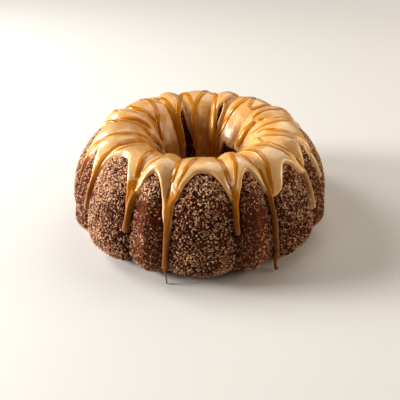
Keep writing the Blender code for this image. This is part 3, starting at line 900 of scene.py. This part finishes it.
# Sugar and crumbs on the bare crust.
sugar = {
    # Each kind's name, how many, half its size in mm (least, most), colour, roughness, seed, and
    # how much thinner it lies where the share of sugar and painted light is low.
    "kinds": (
        ("sugarPale", 11500, 0.54, 1.1, (1.0, 0.63, 0.37), 0.4, 41, 1.3),
        ("sugarGolden", 13000, 0.5, 1.0, (1.0, 0.49, 0.19), 0.45, 42, 0.8),
        ("sugarBrown", 18000, 0.45, 1.0, (0.27, 0.042, 0.009), 0.5, 43, 0.2),
    ),
    "tries": 6,                # places tried for each grain
    "outside": (2.0, 121.0),   # where along the section
    "hole": (145.0, 2.0),      # from where, and how far before the foot of the hole
    "inHole": 0.06,            # the share of the places that lie there
    "even": 0.6,               # the chance of a place, and what clumps of two sizes add to it
    "clumps": ((11.0, 0.6, 0), (4.0, 0.4, 5)),
    "clear": 1.0,              # how far they keep from the icing
    "least": 0.1,              # the chance where the share of sugar and painted light is nought
    "small": 1.8,              # above one there are more small grains than large ones
    "proud": 0.15,             # how far a grain's middle stands out, by half its size
    "lowest": 1.1,             # and how far it keeps above the floor
    "proportions": (0.75, 1.25),
    "shades": (0.38, 1.05, 1.5),   # the darkest, what chance adds, and the power of that chance
    "dark": 0.12,              # how bright the colour is where the shade is nought
    "dullest": 0.5,            # the shade's share where the share of sugar and painted light is nought
}


# Grains of one kind, each an eight-sided crystal with three arms of its own lengths, square to
# each other.
def makeGrains(name, count, least, most, colour, roughness, seed, thinning):
    random = np.random.default_rng(seed)
    tries = count * sugar["tries"]
    angle, along = random.uniform(0, 360, tries), random.uniform(*sugar["outside"], tries)
    inHole = random.random(tries) < sugar["inHole"]
    start, margin = sugar["hole"]
    along = np.where(inHole, random.uniform(start, sectionLength - margin, tries), along)
    points = surfacePoint(angle, along)
    clumps = sugar["even"]
    for size, strength, more in sugar["clumps"]:
        clumps = clumps + strength * smoothNoise(points, size, seed + more)
    # Fewer grains where the sugar share is low, so they carry its painted light and shade.
    sugaredAndLit = sugar["least"] + (1 - sugar["least"]) * sugarAndLightShare(angle, along)
    keep = random.random(tries) < radiusAt(along) / ring["bellyRadius"]
    keep &= random.random(tries) < clumps
    keep &= icingCover(angle, along) < -sugar["clear"]
    keep &= random.random(tries) < sugaredAndLit ** thinning
    angle, along = angle[keep][:count], along[keep][:count]
    number = len(angle)
    size = least + (most - least) * random.random(number) ** sugar["small"]
    centre = surfacePoint(angle, along, crustRelief(angle, along) + sugar["proud"] * size)
    centre[:, 2] = np.maximum(centre[:, 2], size * sugar["lowest"])
    axes = random.normal(size=(number, 3, 3))
    first = unit(axes[:, 0])
    second = unit(np.cross(first, axes[:, 1]))
    third = np.cross(first, second)
    reach = size[:, None] * random.uniform(*sugar["proportions"], (number, 3))
    arms = np.stack([first, second, third], axis=1) * reach[:, :, None]
    corners = centre[:, None, :] + np.concatenate([arms, -arms], axis=1)
    pattern = np.array([
        [0, 1, 2], [1, 3, 2], [3, 4, 2], [4, 0, 2], [1, 0, 5], [3, 1, 5], [4, 3, 5], [0, 4, 5]])
    faces = (np.arange(number)[:, None, None] * 6 + pattern[None]).reshape(-1, 3)
    piece = makePiece(name, corners.reshape(-1, 3), [faces])
    darkest, spread, power = sugar["shades"]
    shade = darkest + spread * random.random(number) ** power
    # Painted light and shade: grains are darker where the sugar share is low.
    dull = sugar["dullest"] + (1 - sugar["dullest"]) * sugarAndLightShare(angle, along)
    storeNumbers(piece, "shade", np.repeat(shade * dull, 6))
    finish = Finish(name + "Finish", Roughness=roughness, Specular_IOR_Level=0.3)
    dark = tuple(sugar["dark"] * part for part in colour)
    finish.feed("Base Color", finish.mix(finish.attribute("shade"), dark, colour))
    return dress(piece, finish, smooth=False)


# Floor, lights and camera.
studio = {
    "elevation": 32.7,
    "distance": 572.0,
    "target": (0.0, -2.0, 0.0),
    "roll": -0.9,
    "lens": 50,
    "sensor": 36,
    "shift": 0.0245,
    "clip": (0.02, 50),
    "floor": (0.78, 0.75, 0.705),
    "floorReach": 4000.0,             # each way
    "floorCells": 40,
    "ambient": 0.02,
    "backdrop": (0.86, 0.84, 0.80),   # the colour of the far floor and of what lies beyond it
    "fades": (0.75, 1.7),             # from where to where the floor turns into it, metres
    "aim": (0, 0, 0.05),              # where the lights point, and how far off they stand, metres
    "lightsAway": 1.5,
    # Each light by the side it comes from (degrees from +X towards +Y), its elevation, its watts,
    # its width in metres and its colour.
    "lights": (
        (180, 18, 34.5, 0.5, (1, 1, 1)), (153, 38, 12.5, 0.55, (1, 1, 1)),
        (60, 50, 8.0, 1.2, (1, 0.96, 0.9)), (0, 20, 12.0, 0.9, (1, 0.87, 0.68)),
        (225, 35, 0.9, 0.16, (1, 1, 1)),
    ),
}
black = (0.0, 0.0, 0.0)


# A flat floor whose far part shines in the colour of what lies beyond it.
def addFloor():
    count = studio["floorCells"]
    steps = np.linspace(-1, 1, count + 1) * studio["floorReach"]
    across, deep = np.meshgrid(steps, steps, indexing="ij")
    points = np.stack([across, deep, 0 * across], axis=-1)
    row = np.arange(count)[:, None] * (count + 1) + np.arange(count)[None, :]
    cells = np.stack([row, row + count + 1, row + count + 2, row + 1], axis=-1).reshape(-1, 4)
    floor = makePiece("floor", points.reshape(-1, 3), [cells])
    finish = Finish("floorFinish", Roughness=0.6, Specular_IOR_Level=0.2, Emission_Strength=1.0)
    away = finish.node("ShaderNodeVectorMath", {"operation": "LENGTH"}, {0: finish.place}, 1)
    far = finish.band(away, *studio["fades"])
    finish.feed("Base Color", finish.mix(far, studio["floor"], black))
    finish.feed("Emission Color", finish.mix(far, black, studio["backdrop"]))
    floor.data.materials.append(finish.material)


# The camera sees the backdrop's colour all round, and the cake gets only a little grey light.
def addWorld():
    world = bpy.data.worlds.new("studio")
    world.use_nodes = True
    sky = Nodes(world.node_tree, "Background")
    seen = sky.node("ShaderNodeLightPath", {}, {}, "Is Camera Ray")
    sky.feed("Color", sky.mix(seen, (studio["ambient"],) * 3, studio["backdrop"]))
    bpy.context.scene.world = world


def addLight(index, side, elevation, power, width, colour):
    lamp = bpy.data.lights.new("light%d" % index, "AREA")
    lamp.shape, lamp.size, lamp.energy, lamp.color = "SQUARE", width, power, colour
    holder = bpy.data.objects.new(lamp.name, lamp)
    side, elevation = np.radians((side, elevation))
    flat = np.cos(elevation)
    away = Vector((flat * np.cos(side), flat * np.sin(side), np.sin(elevation)))
    away = away * studio["lightsAway"]
    holder.location = Vector(studio["aim"]) + away
    holder.rotation_euler = (-away).to_track_quat("-Z", "Y").to_euler()
    bpy.context.scene.collection.objects.link(holder)


def addCamera():
    lens = bpy.data.cameras.new("camera")
    lens.lens, lens.sensor_width, lens.shift_y = studio["lens"], studio["sensor"], studio["shift"]
    lens.clip_start, lens.clip_end = studio["clip"]
    holder = bpy.data.objects.new("camera", lens)
    tilt, roll = np.radians(studio["elevation"]), np.radians(studio["roll"])
    target = Vector(studio["target"]) * mm
    holder.location = target + Vector((0, -np.cos(tilt), np.sin(tilt))) * studio["distance"] * mm
    turn = Matrix.Rotation(np.pi / 2 - tilt, 3, "X") @ Matrix.Rotation(roll, 3, "Z")
    holder.rotation_euler = turn.to_euler()
    bpy.context.scene.collection.objects.link(holder)
    bpy.context.scene.camera = holder


makeCrust()
print("crust made")
makeIcing()
print("icing made")
makeDrizzle()
print("drizzle made")
for kind in sugar["kinds"]:
    makeGrains(*kind)
print("sugar made")

addFloor()
addWorld()
for index, light in enumerate(studio["lights"]):
    addLight(index, *light)
addCamera()
bpy.context.scene.view_settings.view_transform = "Standard"
print("studio made")
